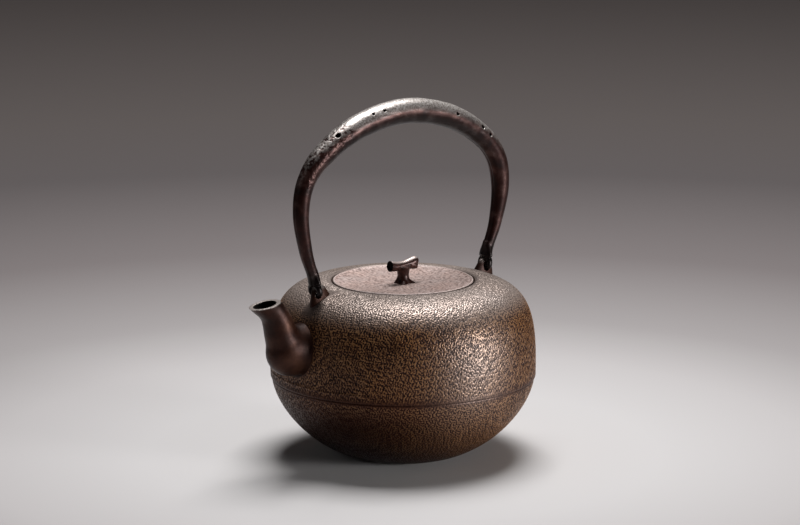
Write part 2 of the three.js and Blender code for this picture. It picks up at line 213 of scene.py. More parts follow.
# %% Smooth cast iron
FILM_GRAIN = 0.9 * MM
FILM_CLOUD = 14 * MM
smooth_iron, film = new_material("lacquered_cast_iron_smooth")
place = add(smooth_iron, "ShaderNodeTexCoord").outputs["Object"]
wear_and_highlight = add(smooth_iron, "ShaderNodeAttribute", attribute_name="wear_and_highlight").outputs["Fac"]
inside = add(smooth_iron, "ShaderNodeAttribute", attribute_name="inside").outputs["Fac"]
grain = add(
    smooth_iron, "ShaderNodeTexNoise", {"Vector": place, "Scale": 1 / FILM_GRAIN, "Detail": 4}
).outputs["Fac"]
cloud = add(
    smooth_iron, "ShaderNodeTexNoise", {"Vector": place, "Scale": 1 / FILM_CLOUD, "Detail": 4}
).outputs["Fac"]
brown = add(
    smooth_iron,
    "ShaderNodeValToRGB",
    {"Fac": cloud},
    [(0.3, srgb("#1b0a05")), (0.5, srgb("#2d140b")), (0.72, srgb("#44281b"))],
).outputs["Color"]
dusted = add(
    smooth_iron, "ShaderNodeMix", {0: 0.3, 6: brown, 7: grain}, data_type="RGBA", blend_type="OVERLAY"
).outputs[2]
# Pale grey: the rubbed lip, and a painted highlight on the ears' crests.
rubbed_and_highlit = add(
    smooth_iron, "ShaderNodeMix", {0: wear_and_highlight, 6: dusted, 7: srgb("#a39a95")}, data_type="RGBA"
).outputs[2]
colour = add(
    smooth_iron, "ShaderNodeMix", {0: inside, 6: rubbed_and_highlit, 7: srgb("#14100f")}, data_type="RGBA"
).outputs[2]
rough = add(smooth_iron, "ShaderNodeMapRange", {0: grain, 3: 0.34, 4: 0.54}).outputs[0]
bump = add(
    smooth_iron, "ShaderNodeBump", {"Strength": 0.35, "Distance": 0.1 * MM, "Height": grain}
).outputs[0]
smooth_iron.node_tree.links.new(colour, film.inputs["Base Color"])
smooth_iron.node_tree.links.new(rough, film.inputs["Roughness"])
smooth_iron.node_tree.links.new(bump, film.inputs["Normal"])
film.inputs["IOR"].default_value = 1.4
film.inputs["Metallic"].default_value = 0.55
print("smooth iron: grain", FILM_GRAIN / MM, "mm")

# %% [markdown]
# ## Forged iron handle
# The handle is sheet iron rolled into a tube and forged to shape. The crown is where the hand
# holds it: scale and lacquer are gone, and dull grey iron shows, pitted and streaked. The legs
# keep their dark red-brown lacquer, which goes nearly black towards the feet, and below the crown
# as a painted shade. The worn share could be a painted mask. Here it comes from height and slope:
# the crown is worn, and its upper side is bared brighter still as a painted highlight of the light
# above. It sets colour, gloss and metal together.

# %% Forged iron
PITTING = 1.1 * MM
BLOTCHES = 7 * MM
forged_iron, iron = new_material("forged_iron_lacquer_worn")
place = add(forged_iron, "ShaderNodeTexCoord").outputs["Object"]
wear_and_highlight = add(forged_iron, "ShaderNodeAttribute", attribute_name="wear_and_highlight").outputs["Fac"]
dark_feet_and_shade = add(forged_iron, "ShaderNodeAttribute", attribute_name="dark_feet_and_shade").outputs["Fac"]
pits = add(
    forged_iron, "ShaderNodeTexNoise", {"Vector": place, "Scale": 1 / PITTING, "Detail": 5}
).outputs["Fac"]
blotch = add(
    forged_iron, "ShaderNodeTexNoise", {"Vector": place, "Scale": 1 / BLOTCHES, "Detail": 5}
).outputs["Fac"]
uneven = add(forged_iron, "ShaderNodeMath", {0: blotch, 1: 0.5}, operation="SUBTRACT").outputs[0]
# The bare share holds the worn crown and the painted highlight on its upper side.
bare_and_highlit = add(
    forged_iron, "ShaderNodeMath", {0: uneven, 1: 0.3, 2: wear_and_highlight}, operation="MULTIPLY_ADD", use_clamp=True
).outputs[0]
film_tone = add(
    forged_iron,
    "ShaderNodeValToRGB",
    {"Fac": blotch},
    [(0.3, srgb("#1b0806")), (0.55, srgb("#32140e")), (0.75, srgb("#452017"))],
).outputs["Color"]
# Darker towards the feet, and painted shade under the crown.
lacquer = add(
    forged_iron, "ShaderNodeMix", {0: dark_feet_and_shade, 6: film_tone, 7: srgb("#120706")}, data_type="RGBA"
).outputs[2]
metal = add(
    forged_iron,
    "ShaderNodeValToRGB",
    {"Fac": pits},
    [(0.3, srgb("#7b726d")), (0.48, srgb("#b3aba6")), (0.68, srgb("#e6e1dd"))],
).outputs["Color"]
colour = add(forged_iron, "ShaderNodeMix", {0: bare_and_highlit, 6: lacquer, 7: metal}, data_type="RGBA").outputs[2]
rough = add(forged_iron, "ShaderNodeMapRange", {0: bare_and_highlit, 3: 0.38, 4: 0.42}).outputs[0]
metal_share = add(forged_iron, "ShaderNodeMapRange", {0: bare_and_highlit, 3: 0.62, 4: 0.7}).outputs[0]
bump = add(
    forged_iron, "ShaderNodeBump", {"Strength": 0.25, "Distance": 0.1 * MM, "Height": pits}
).outputs[0]
forged_iron.node_tree.links.new(colour, iron.inputs["Base Color"])
forged_iron.node_tree.links.new(rough, iron.inputs["Roughness"])
forged_iron.node_tree.links.new(metal_share, iron.inputs["Metallic"])
forged_iron.node_tree.links.new(bump, iron.inputs["Normal"])
print("forged iron: pits", PITTING / MM, "mm")

# %% [markdown]
# ## Sand-cast lid and its knob
# The lid was cast in fine sand and only thinly lacquered: a taupe, fine-grained skin that takes
# the light from above. Its narrow rim is brighter, partly rubbed and partly a painted highlight,
# and its outer edge is painted dark as the shade in the gap under the rim. The sand's own grain of
# half a millimetre is too fine to show, so it is drawn three times as coarse. The knob is smooth,
# dark and glossier.

# %% Lid iron
SAND = 1.5 * MM
LID_CLOUD = 16 * MM
lid_iron, plate = new_material("sand_cast_iron_thin_lacquer")
place = add(lid_iron, "ShaderNodeTexCoord").outputs["Object"]
wear_and_highlight = add(lid_iron, "ShaderNodeAttribute", attribute_name="wear_and_highlight").outputs["Fac"]
sand = add(lid_iron, "ShaderNodeTexNoise", {"Vector": place, "Scale": 1 / SAND, "Detail": 3}).outputs["Fac"]
cloud = add(
    lid_iron, "ShaderNodeTexNoise", {"Vector": place, "Scale": 1 / LID_CLOUD, "Detail": 4}
).outputs["Fac"]
taupe = add(
    lid_iron,
    "ShaderNodeValToRGB",
    {"Fac": sand},
    [(0.32, srgb("#6c5750")), (0.48, srgb("#b9a49d")), (0.66, srgb("#ddccc6"))],
).outputs["Color"]
warm = add(
    lid_iron, "ShaderNodeValToRGB", {"Fac": cloud}, [(0.35, srgb("#e4dcdb")), (0.65, srgb("#eed8cf"))]
).outputs["Color"]
toned = add(
    lid_iron, "ShaderNodeMix", {0: 0.6, 6: taupe, 7: warm}, data_type="RGBA", blend_type="MULTIPLY"
).outputs[2]
# The pits attribute also holds the rim's outer edge, painted dark as the shade in the gap under it.
pits = add(lid_iron, "ShaderNodeAttribute", attribute_name="pits").outputs["Fac"]
pitted_and_rim_shaded = add(lid_iron, "ShaderNodeMix", {0: pits, 6: toned, 7: srgb("#241712")}, data_type="RGBA").outputs[2]
# The rim's top is brighter: partly rubbed, partly a painted highlight.
colour = add(
    lid_iron, "ShaderNodeMix", {0: wear_and_highlight, 6: pitted_and_rim_shaded, 7: srgb("#dcd2ce")}, data_type="RGBA"
).outputs[2]
bump = add(lid_iron, "ShaderNodeBump", {"Strength": 0.5, "Distance": 0.15 * MM, "Height": sand}).outputs[0]
lid_iron.node_tree.links.new(colour, plate.inputs["Base Color"])
lid_iron.node_tree.links.new(bump, plate.inputs["Normal"])
plate.inputs["Roughness"].default_value = 0.5
plate.inputs["IOR"].default_value = 1.55
print("lid iron: sand drawn", SAND / MM, "mm wide")

# %% [markdown]
# ## Knob iron
# The twig is cast smooth and lacquered darker than the lid, and its top is paler, partly polished
# by fingers and partly a painted highlight of the light above.
# The cut end is hollow and dull. Both are attributes, since they follow the knob's own shape.

# %% Knob iron
BARK = 2.5 * MM
knob_iron, gloss = new_material("cast_iron_dark_lacquer")
place = add(knob_iron, "ShaderNodeTexCoord").outputs["Object"]
cut = add(knob_iron, "ShaderNodeAttribute", attribute_name="cut").outputs["Fac"]
wear_and_highlight = add(knob_iron, "ShaderNodeAttribute", attribute_name="wear_and_highlight").outputs["Fac"]
bark = add(knob_iron, "ShaderNodeTexNoise", {"Vector": place, "Scale": 1 / BARK, "Detail": 4}).outputs["Fac"]
dark = add(
    knob_iron,
    "ShaderNodeValToRGB",
    {"Fac": bark},
    [(0.3, srgb("#1e0a07")), (0.55, srgb("#371b15")), (0.75, srgb("#4e2e26"))],
).outputs["Color"]
# Pale top: partly polish, partly a painted highlight.
rubbed_and_highlit = add(knob_iron, "ShaderNodeMix", {0: wear_and_highlight, 6: dark, 7: srgb("#cbbab4")}, data_type="RGBA").outputs[2]
colour = add(
    knob_iron, "ShaderNodeMix", {0: cut, 6: rubbed_and_highlit, 7: srgb("#100504")}, data_type="RGBA"
).outputs[2]
bump = add(knob_iron, "ShaderNodeBump", {"Strength": 0.3, "Distance": 0.1 * MM, "Height": bark}).outputs[0]
knob_iron.node_tree.links.new(colour, gloss.inputs["Base Color"])
knob_iron.node_tree.links.new(bump, gloss.inputs["Normal"])
matt = add(knob_iron, "ShaderNodeMapRange", {0: cut, 3: 0.36, 4: 0.9}).outputs[0]
knob_iron.node_tree.links.new(matt, gloss.inputs["Roughness"])
gloss.inputs["IOR"].default_value = 1.45
gloss.inputs["Metallic"].default_value = 0.4
print("knob iron: bark", BARK / MM, "mm")

# %% [markdown]
# ## Brass washer
# A thin washer below the lid takes the hammered end of the knob's tang. Steam keeps it dull and
# blotched. Its solid is already right, so only its material is replaced.

# %% Tarnished brass for the washer
TARNISH = 1.5 * MM
washer_brass, brass = new_material("brass_steam_tarnished")
place = add(washer_brass, "ShaderNodeTexCoord").outputs["Object"]
spots = add(
    washer_brass, "ShaderNodeTexNoise", {"Vector": place, "Scale": 1 / TARNISH, "Detail": 3}
).outputs["Fac"]
tarnish = add(
    washer_brass, "ShaderNodeValToRGB", {"Fac": spots}, [(0.35, srgb("#4a3520")), (0.65, srgb("#9a7840"))]
).outputs["Color"]
washer_brass.node_tree.links.new(tarnish, brass.inputs["Base Color"])
brass.inputs["Metallic"].default_value = 1.0
brass.inputs["Roughness"].default_value = 0.5
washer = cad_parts["knob_washer"]
washer.data.materials.clear()
washer.data.materials.append(washer_brass)
print("washer keeps its solid and gets brass")

# %% [markdown]
# ## Mesh helpers
# Turned pieces are grids of rows and columns, and bent pieces are rings along a smooth line.
# Blender's screw modifier and bevelled curves would do much the same, but points made here can
# be counted, painted and moved one by one.
# Where pieces of iron flow into each other, the closed meshes are joined with booleans and then
# remeshed in small voxels and smoothed, which leaves the soft fillets that casting gives.


# %% Grids, rings and smooth lines
def grid_object(name, rings, close_ends=True):
    """A closed mesh through rings of equal count, each a numpy array of points."""
    count, sides = len(rings), len(rings[0])
    points = [tuple(p) for ring in rings for p in ring]
    at = np.arange(count * sides).reshape(count, sides)
    turned = np.roll(at, -1, axis=1)
    quads = np.stack([at[:-1], turned[:-1], turned[1:], at[1:]], axis=-1).reshape(-1, 4).tolist()
    if close_ends:
        start, end = len(points), len(points) + 1
        points += [tuple(np.mean(rings[0], axis=0)), tuple(np.mean(rings[-1], axis=0))]
        quads += [(start, int(b), int(a)) for a, b in zip(at[0], turned[0])]
        quads += [(end, int(a), int(b)) for a, b in zip(at[-1], turned[-1])]
    else:
        quads += np.stack([at[-1], turned[-1], turned[0], at[0]], axis=-1).tolist()
    mesh = bpy.data.meshes.new(name)
    mesh.from_pydata(points, [], quads)
    mesh.update()
    made = bpy.data.objects.new(name, mesh)
    bpy.context.scene.collection.objects.link(made)
    return made


def smooth_line(points, samples):
    """Points and directions along a smooth line through control rows, which may carry more columns."""
    rows = np.array(points, float)
    padded = np.vstack([2 * rows[0] - rows[1], rows, 2 * rows[-1] - rows[-2]])
    places = np.asarray(samples) * (len(rows) - 1)
    step = np.minimum(places.astype(int), len(rows) - 2)
    t = (places - step)[:, None]
    before, a, b, after = (padded[step + k] for k in range(4))
    out, into = (b - before) / 2, (after - a) / 2
    bend, rest = 2 * a - 2 * b + out + into, -3 * a + 3 * b - 2 * out - into
    where = ((bend * t + rest) * t + out) * t + a
    heading = (3 * bend * t + 2 * rest) * t + out
    return where, heading


def rings_along(where, heading, radii, sides, flat=1.0):
    """Round rings square to a line. Flat is the ring's size along Y over its size across."""
    rings = []
    turn = np.linspace(0, 2 * math.pi, sides, endpoint=False)
    across = None
    for centre, ahead, radius in zip(where, heading, radii):
        ahead = ahead / np.linalg.norm(ahead)
        across = np.cross((0, 1, 0), ahead) if across is None else across - ahead * across.dot(ahead)
        if np.linalg.norm(across) < 0.2:
            across = np.cross(ahead, (0, 0, 1)) + (1e-6, 0, 0)
        across = across / np.linalg.norm(across)
        side = np.cross(ahead, across)
        unit = np.outer(np.cos(turn), across) + flat * np.outer(np.sin(turn), side)
        rings.append(centre + radius * unit)
    return rings


def revolve(name, outline, columns, closed=False):
    """Turns an outline of radius and height round Z. Closed joins its last row to its first."""
    turn = np.linspace(0, 2 * math.pi, columns, endpoint=False)
    rings = [np.column_stack([r * np.cos(turn), r * np.sin(turn), np.full(columns, z)]) for r, z in outline]
    return grid_object(name, rings, close_ends=not closed)


print("mesh helpers ready")


# %% Booleans, remeshing and reading points
def apply_modifiers(piece):
    """Keeps the piece as its modifiers show it."""
    graph = bpy.context.evaluated_depsgraph_get()
    shown = piece.evaluated_get(graph)
    mesh = bpy.data.meshes.new_from_object(shown, preserve_all_data_layers=True, depsgraph=graph)
    piece.modifiers.clear()
    piece.data = mesh
    return piece


def carve(piece, other, operation="DIFFERENCE", keep=False):
    """Joins the other mesh to the piece, or cuts it away."""
    modifier = piece.modifiers.new("carve", "BOOLEAN")
    modifier.operation, modifier.solver, modifier.object = operation, "MANIFOLD", other
    apply_modifiers(piece)
    if not keep:
        bpy.data.objects.remove(other)
    return piece


def melt(piece, voxel, passes):
    """Remeshes in voxels and smooths, so that joined pieces flow into each other."""
    modifier = piece.modifiers.new("voxels", "REMESH")
    modifier.mode, modifier.voxel_size = "VOXEL", voxel / FINE
    modifier = piece.modifiers.new("soften", "SMOOTH")
    modifier.factor, modifier.iterations = 0.5, passes
    return apply_modifiers(piece)


def points_of(piece):
    points = np.empty(len(piece.data.vertices) * 3, np.float32)
    piece.data.vertices.foreach_get("co", points)
    return points.reshape(-1, 3).astype(float)


def normals_of(piece):
    normals = np.empty(len(piece.data.vertices) * 3, np.float32)
    piece.data.vertices.foreach_get("normal", normals)
    return normals.reshape(-1, 3).astype(float)


def move_points(piece, points):
    piece.data.vertices.foreach_set("co", points.astype(np.float32).ravel())
    piece.data.update()


def paint(piece, name, values):
    """Stores a number at each point, for the material to read."""
    layer = piece.data.attributes.new(name, "FLOAT", "POINT")
    layer.data.foreach_set("value", np.clip(values, 0, 1).astype(np.float32))


def fade(values, start, end):
    """0 at start and 1 at end, with a soft run between."""
    t = np.clip((np.asarray(values, float) - start) / (end - start), 0, 1)
    return t * t * (3 - 2 * t)


def noise_at(points, size, seed=0.0):
    """Smooth noise from -1 to 1 at each point, with features of about that size."""
    shifted = points / size + (seed, -2 * seed, 3 * seed)
    return np.array([noise.noise(p) for p in shifted])


def dress(piece, material, body, slot, *nodes):
    """Gives a piece its material, its body and the nodes that it stands for."""
    piece.data.materials.clear()
    piece.data.materials.append(material)
    piece.data.shade_smooth()
    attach(piece, body)
    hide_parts(*nodes)
    print(piece.name, len(piece.data.vertices), "points, stands for", ", ".join(nodes))


print("boolean and point helpers ready")

# %% [markdown]
# ## The casting's outline
# The bowl and the shoulder are two arcs that meet at the parting line, where the shoulder
# stands proud of the bowl by less than a millimetre. The same two curves made the solid, so the
# fine mesh lies on it, and relief only goes inwards.

# %% Outline of the casting
BODY_RADIUS, BASE_RADIUS, SEAT_RADIUS, MOUTH_RADIUS = 85, 34, 45.3, 41
RIM_HEIGHT = RIM / MM
PARTING, PARTING_STEP, WALL, SEAT_DEPTH = 50.5, 0.7, 3, 2.5
LEDGE = RIM_HEIGHT - SEAT_DEPTH
ROW_STEP = 0.4 / FINE
COLUMNS = int(1350 * FINE)


def bend(start, first, second, end, count):
    """Points and outward directions along a cubic curve of radius and height."""
    t = np.linspace(0, 1, count)[:, None]
    a, b, c, d = (np.array(p, float) for p in (start, first, second, end))
    where = (1 - t) ** 3 * a + 3 * (1 - t) ** 2 * t * b + 3 * (1 - t) * t**2 * c + t**3 * d
    ahead = 3 * (1 - t) ** 2 * (b - a) + 6 * (1 - t) * t * (c - b) + 3 * t**2 * (d - c)
    ahead /= np.linalg.norm(ahead, axis=1)[:, None]
    return where, np.column_stack([ahead[:, 1], -ahead[:, 0]])


def casting_curves(step):
    width, shoulder, height = BODY_RADIUS - BASE_RADIUS, BODY_RADIUS - SEAT_RADIUS, RIM_HEIGHT - PARTING
    bowl = bend(
        (BASE_RADIUS, 0),
        (BASE_RADIUS + width * 0.51, PARTING * 0.12),
        (BODY_RADIUS - width * 0.06, PARTING * 0.61),
        (BODY_RADIUS - PARTING_STEP, PARTING),
        int(75 / step),
    )
    top = bend(
        (BODY_RADIUS, PARTING),
        (BODY_RADIUS + shoulder * 0.02, PARTING + height * 0.68),
        (BODY_RADIUS - shoulder * 0.085, RIM_HEIGHT - height * 0.02),
        (SEAT_RADIUS, RIM_HEIGHT),
        int(86 / step),
    )
    return bowl, top


(bowl, _), (top, _) = casting_curves(ROW_STEP)
print("bowl rows", len(bowl), "shoulder rows", len(top))

# %% [markdown]
# ## The pebbled maze
# Blender's cell textures would give islands. Waves of nearly one length that run in all
# directions add up to a field whose high parts wind round its low parts, as the ridges of this
# skin do. The length is the real pitch of the ridges, about 1.3 mm. Sharpened, the high parts
# are round-topped ridges and the low ones narrow grooves.
# They fade out at the parting line, at the lid's seat and round the spout and ears, where the
# mould was dressed by hand.

# %% Relief of the skin
# The painted highlight on the cheek has a middle and a reach in mm. Each stain has a middle and a size in
# mm.
RIDGE_PITCH = 1.3 * MM
RIDGE_HEIGHT = 0.3 * MM
WAVES = 80
SPOUT_HEIGHT = 78.5 * MM
EAR_MIDDLE = 66
BAND_TOP = 55.8
SEAM_HEIGHT, SEAM_WIDTH = 0.28 * MM, 0.55
CHEEK_HIGHLIGHT, CHEEK_HIGHLIGHT_SIZE = (-5, -85, 73), (26, 30, 30)
STAINS = [(-54.5, -61.6, 87, 3.5), (30, -77.4, 78.7, 3.5), (12, 80, 66, 5), (70, 44, 72, 4)]


def maze(points):
    """Ridge height from 0 to 1 at each point."""
    draw = np.random.default_rng(7)
    ahead = draw.normal(size=(WAVES, 3))
    ahead *= 2 * math.pi / RIDGE_PITCH / np.linalg.norm(ahead, axis=1)[:, None]
    stretch = draw.uniform(0.7, 1.3, WAVES)
    start = draw.uniform(0, 2 * math.pi, WAVES)
    field = np.zeros(len(points))
    for k in range(WAVES):
        field += np.cos(points @ (ahead[k] * stretch[k]) + start[k])
    return fade(field * math.sqrt(2 / WAVES), -1.4, 1.0)


def skin_strength(points):
    """How strong the relief is: 1 on the pebbled skin and near 0 where the mould was dressed."""
    x, y, z = points.T / MM
    r = np.hypot(x, y)
    bands = np.interp(z, [0, 3, 7, 48, 49.7, 51.5, 53, BAND_TOP], [0, 0.3, 1, 0.95, 0.3, 0.3, 0.7, 1])
    rim = 1 - 0.85 * fade(r, 49.5, 46.5) * (z > PARTING)
    bulb = np.hypot(y / 13.5, (z - SPOUT_HEIGHT / MM) / 15.5)
    spout = np.where(x < 0, fade(bulb, 1, 1.22), 1)
    ears = np.maximum(fade(np.abs(y), 3.5, 6.5), fade(np.abs(np.abs(x) - EAR_MIDDLE), 10, 13))
    return bands * rim * spout * np.where(z > 95, ears, 1)


print("ridge pitch", RIDGE_PITCH / MM, "mm, height", RIDGE_HEIGHT / MM, "mm")

# %% Casting: the body as one closed wall
groove = [(84.15, 50.0), (84.0, 50.35), (84.05, 50.6), (84.7, 50.8), (84.95, 51.1)]
low_rows = [(r, 0.0) for r in np.linspace(2, BASE_RADIUS - 1, 14)]
bowl_rows = [tuple(p) for p in bowl if p[1] < 49.7]
top_rows = [tuple(p) for p in top if p[1] > 51.4 and p[0] > SEAT_RADIUS + 2.4]
seat_rows = [
    (SEAT_RADIUS + 1.9, RIM_HEIGHT - 0.08),
    (SEAT_RADIUS + 1.4, RIM_HEIGHT - 0.2),
    (SEAT_RADIUS + 0.9, RIM_HEIGHT - 0.4),
    (SEAT_RADIUS + 0.5, RIM_HEIGHT - 0.66),
    (SEAT_RADIUS + 0.25, RIM_HEIGHT - 1),
    (SEAT_RADIUS + 0.2, LEDGE + 0.2),
    (SEAT_RADIUS - 0.3, LEDGE),
    (MOUTH_RADIUS + 0.3, LEDGE),
    (MOUTH_RADIUS, LEDGE - 0.3),
]
(inner_bowl, bowl_in), (inner_top, top_in) = casting_curves(3.0)
roof = LEDGE - WALL
hollow = np.vstack([inner_bowl - WALL * bowl_in, inner_top - WALL * top_in])
hollow_rows = [(r, min(z, roof)) for r, z in hollow if r > MOUTH_RADIUS or z < PARTING][::-1]
inner_rows = [(MOUTH_RADIUS, roof + 0.3), (MOUTH_RADIUS + 0.4, roof)] + hollow_rows + [(12, WALL), (2, WALL)]
outline = low_rows + bowl_rows + groove + top_rows + seat_rows + inner_rows
casting = revolve("casting_body", [(r * MM, z * MM) for r, z in outline], COLUMNS)
print("casting rows", len(outline), "columns", COLUMNS)

# %% [markdown]
# ## Spout
# The spout is a round bulb that leaves the body level and a neck that rises out of it and leans
# outwards to a level-cut lip. One tube of changing width would lose the bulb's round back, so
# bulb and neck are two closed meshes, joined and melted together, and the crease between them
# is as soft as in the casting. The bore is cut the same way, and it opens the body's wall too.

# %% Spout and its bore
SPOUT_REACH, MOUTH_HEIGHT, MOUTH_TILT = 23.5, 111.2, math.radians(10)
BULB, BULB_HALF_WIDTH, BULB_REACH, NECK, MOUTH, LIP_WALL = 15, 12.8, 5.5, 8, 8.2, 1.5
NECK_ROWS = [
    (0.1, -0.12, NECK * 1.5),
    (0.34, 0.1, NECK * 1.42),
    (0.48, 0.33, NECK * 1.27),
    (0.57, 0.56, NECK * 1.18),
    (0.72, 0.79, NECK * 1.05),
    (0.86, 0.9, NECK),
    (1, 1, MOUTH),
    (1.3, 1.2, MOUTH * 1.05),
]
SHRINK = 0.55
all_rows = np.vstack([bowl, top])


def wall_x(y, z):
    """How far out the casting's surface lies at that width and height."""
    r = np.interp(z, all_rows[:, 1], all_rows[:, 0])
    return np.sqrt(np.maximum(r**2 - np.asarray(y) ** 2, 1))


def spout_bulb(name, inset, flare):
    """A level stub with a round end, taller than wide. The flare widens it where it meets the body."""
    turn = np.linspace(0, 2 * math.pi, 64, endpoint=False)
    radius = BULB - inset
    narrow = BULB_HALF_WIDTH / BULB
    rings = []
    for out, wide in [(-14, 0), (-0.5, 1), (0.2, 0.7), (0.7, 0.35), (1.4, 0.1)]:
        r = radius * 1.06 + flare * wide
        y, z = r * narrow * np.cos(turn), SPOUT_HEIGHT / MM + r * np.sin(turn)
        rings.append(np.column_stack([-(wall_x(y, z) + out) if out > -1 else np.full(64, -71.0), y, z]))
    for angle in np.linspace(0.15, 1.45, 12):
        r = radius * math.cos(angle)
        x = -(BODY_RADIUS + BULB_REACH + radius * math.sin(angle))
        y, z = r * narrow * np.cos(turn), SPOUT_HEIGHT / MM + r * np.sin(turn)
        rings.append(np.column_stack([np.full(64, x), y, z]))
    return grid_object(name, [ring[::-1] * MM for ring in rings])


def spout_neck(name, low_inset, high_inset):
    rise = MOUTH_HEIGHT - SPOUT_HEIGHT / MM
    rows = [
        (-BODY_RADIUS - SPOUT_REACH * out, 0, SPOUT_HEIGHT / MM + rise * up, radius)
        for out, up, radius in NECK_ROWS
    ]
    where, heading = smooth_line(rows, np.linspace(0, 1, 40))
    inset = np.linspace(low_inset, high_inset, 40)
    rings = rings_along(where[:, :3] * MM, heading[:, :3], (where[:, 3] - inset) * MM, 48)
    return grid_object(name, rings)


def block(name, size, centre, tilt=0.0):
    """A box that cuts, tilted about Y."""
    turn = np.array([[math.cos(tilt), 0, math.sin(tilt)], [0, 1, 0], [-math.sin(tilt), 0, math.cos(tilt)]])
    corners = np.array([(-1, -1), (1, -1), (1, 1), (-1, 1)]) * size / 2
    rings = [np.column_stack([corners, np.full(4, z)]) @ turn.T + centre for z in (0, size)]
    return grid_object(name, rings)


bore = carve(spout_bulb("bore", WALL, 0), spout_neck("bore_neck", WALL + 1, LIP_WALL), "UNION")
carve(casting, bore, keep=True)
spout = carve(
    spout_bulb("spout_casting", -SHRINK, 0.9), spout_neck("spout_neck", -SHRINK, -SHRINK), "UNION"
)
melt(spout, 0.8 * MM, 40)
lip_cut = block("lip_cut", 60 * MM, (-(BODY_RADIUS + SPOUT_REACH) * MM, 0, MOUTH_HEIGHT * MM), -MOUTH_TILT)
carve(spout, lip_cut)
core = revolve("core", [(r * 0.985 * MM, z * MM) for r, z in all_rows], 180)
carve(spout, core)
carve(spout, bore)
melt(spout, 0.4 * MM, 2)
print("spout", len(spout.data.vertices), "points")

# %% [markdown]
# ## Spout: wear and bore
# The lip is rubbed to grey by pouring and wiping, and the bore stays dark. Both follow from the
# distance to the plane of the lip, so no mask has to be painted.

# %% Spout: paint the worn lip and the dark bore, and dress it
points = points_of(spout)
lip_normal = np.array([-math.sin(MOUTH_TILT), 0, math.cos(MOUTH_TILT)])
lip_centre = np.array([-(BODY_RADIUS + SPOUT_REACH) * MM, 0, MOUTH_HEIGHT * MM])
to_lip = (points - lip_centre) @ lip_normal
normals = normals_of(spout)
away = points - lip_centre
inwards = -(normals * (away - np.outer(to_lip, lip_normal))).sum(axis=1)
paint(spout, "inside", fade(inwards, 0.0005, 0.003) * fade(to_lip, -0.2 * MM, -1.2 * MM))
paint(spout, "wear_and_highlight", 0.9 * fade(to_lip, -0.9 * MM, -0.2 * MM))
ripple = noise_at(points, 9 * MM, 1.7) * 0.15 + noise_at(points, 2.2 * MM, 5.9) * 0.06
move_points(spout, points + normals * (ripple[:, None] - 0.15) * MM * 0.8)
dress(spout, smooth_iron, "root", "smooth_cast_iron", "spout")

# %% [markdown]
# ## The body's skin
# With the bore cut, each point of the outside sinks by the depth of the maze there. The inside
# stays smooth and grey, as iron is that has been baked against rust and never lacquered.

# %% Press the maze into the casting
points = points_of(casting)
normals = normals_of(casting)
r_here = np.hypot(points[:, 0], points[:, 1]) / MM
z_here = points[:, 2] / MM
out_r = np.interp(z_here, all_rows[:, 1], all_rows[:, 0])
near_top = (z_here > 100) & (normals[:, 2] > 0.2) & (r_here > SEAT_RADIUS)
outside = (np.abs(r_here - out_r) < 1.4) | near_top | (z_here < 0.5)
depth_map = maze(points) * outside
strength = skin_strength(points) * outside
sink = RIDGE_HEIGHT * strength * (1 - depth_map)
wave = 0.25 * MM * (1 + noise_at(points, 38 * MM, 2.2)) / 2 * outside * (z_here > 4)
seam = SEAM_HEIGHT * np.exp(-(((z_here - BAND_TOP) / SEAM_WIDTH) ** 2))
seam = seam * fade(points[:, 0], -62 * MM, -74 * MM) * outside
move_points(casting, points - normals * (sink + wave * (strength > 0.05) - seam)[:, None])
paint(casting, "relief", depth_map * strength + 0.45 * (1 - strength))
# Paler shoulder top, partly rubbed and partly a painted highlight of the light above, and a painted
# highlight of the softbox on the cheek.
patchy_rub_and_highlight = 0.5 + 0.5 * noise_at(points, 26 * MM, 4.9)
on_top = fade(normals[:, 2], 0.35, 0.95) * (0.6 + 0.4 * patchy_rub_and_highlight) * (z_here > PARTING)
cheek_highlight = np.linalg.norm((points / MM - CHEEK_HIGHLIGHT) / CHEEK_HIGHLIGHT_SIZE, axis=1)
paint(casting, "wear_and_highlight", (on_top + 0.42 * np.exp(-(cheek_highlight**2)) * (1 - on_top)) * outside)
# Soot and painted shade under the spout and at the base, painted shade in the parting groove, and real
# stains.
under_spout = fade(points[:, 0], 0, -78 * MM) * fade(z_here, 68, 34)
stained = sum(np.exp(-((np.linalg.norm(points / MM - s[:3], axis=1) / s[3]) ** 2)) for s in STAINS)
in_groove = np.exp(-(((z_here - 50.4) / 0.5) ** 2)) * fade(np.abs(points[:, 1]), 5 * MM, 30 * MM)
soot_and_shade_share = 0.9 * under_spout + 0.55 * fade(z_here, 24, 3) + 0.45 * in_groove + 0.5 * stained
paint(casting, "soot_and_shade", soot_and_shade_share * outside)
paint(casting, "inside", 1.0 - outside)
dress(casting, pebbled_iron, "root", "cast_iron_body", "kettle_body")

# %% [markdown]
# ## Ears
# Each ear is a fin shaped like a hill: a long slope towards the lid, a round top and a steep
# outer face. An extruded outline would be as thick at the crest as at the root, so it is stacked
# from level sections instead, pierced for the handle's claws, and melted.

# %% Ears
EAR_OUTER, EAR_TOP, EAR_THICK = 72.9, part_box("ear_rear")[1].z / MM, 5.3
HOLE_X = {-1: EAR_OUTER - 3.7, 1: EAR_OUTER - 5.9}
HOLE_Z, HOLE_RADIUS = EAR_TOP - 6.4, 2.1
EAR_HEIGHTS = [100, 105, 107, 109, 111, 113, 115, 116.8, EAR_TOP]
EAR_INNER_ENDS = [54, 55.3, 56, 57, 58.5, 60, 61.5, 62.8, 64.6]
EAR_OUTER_ENDS = [73.6, 73.4, 73.2, 73, 72.8, 72.5, 72.1, 71.5, 69.9]
EAR_WIDTHS = [7.6, 7, 6.6, 6.2, 5.8, 5.5, 5.3, 5.1, 4.6]


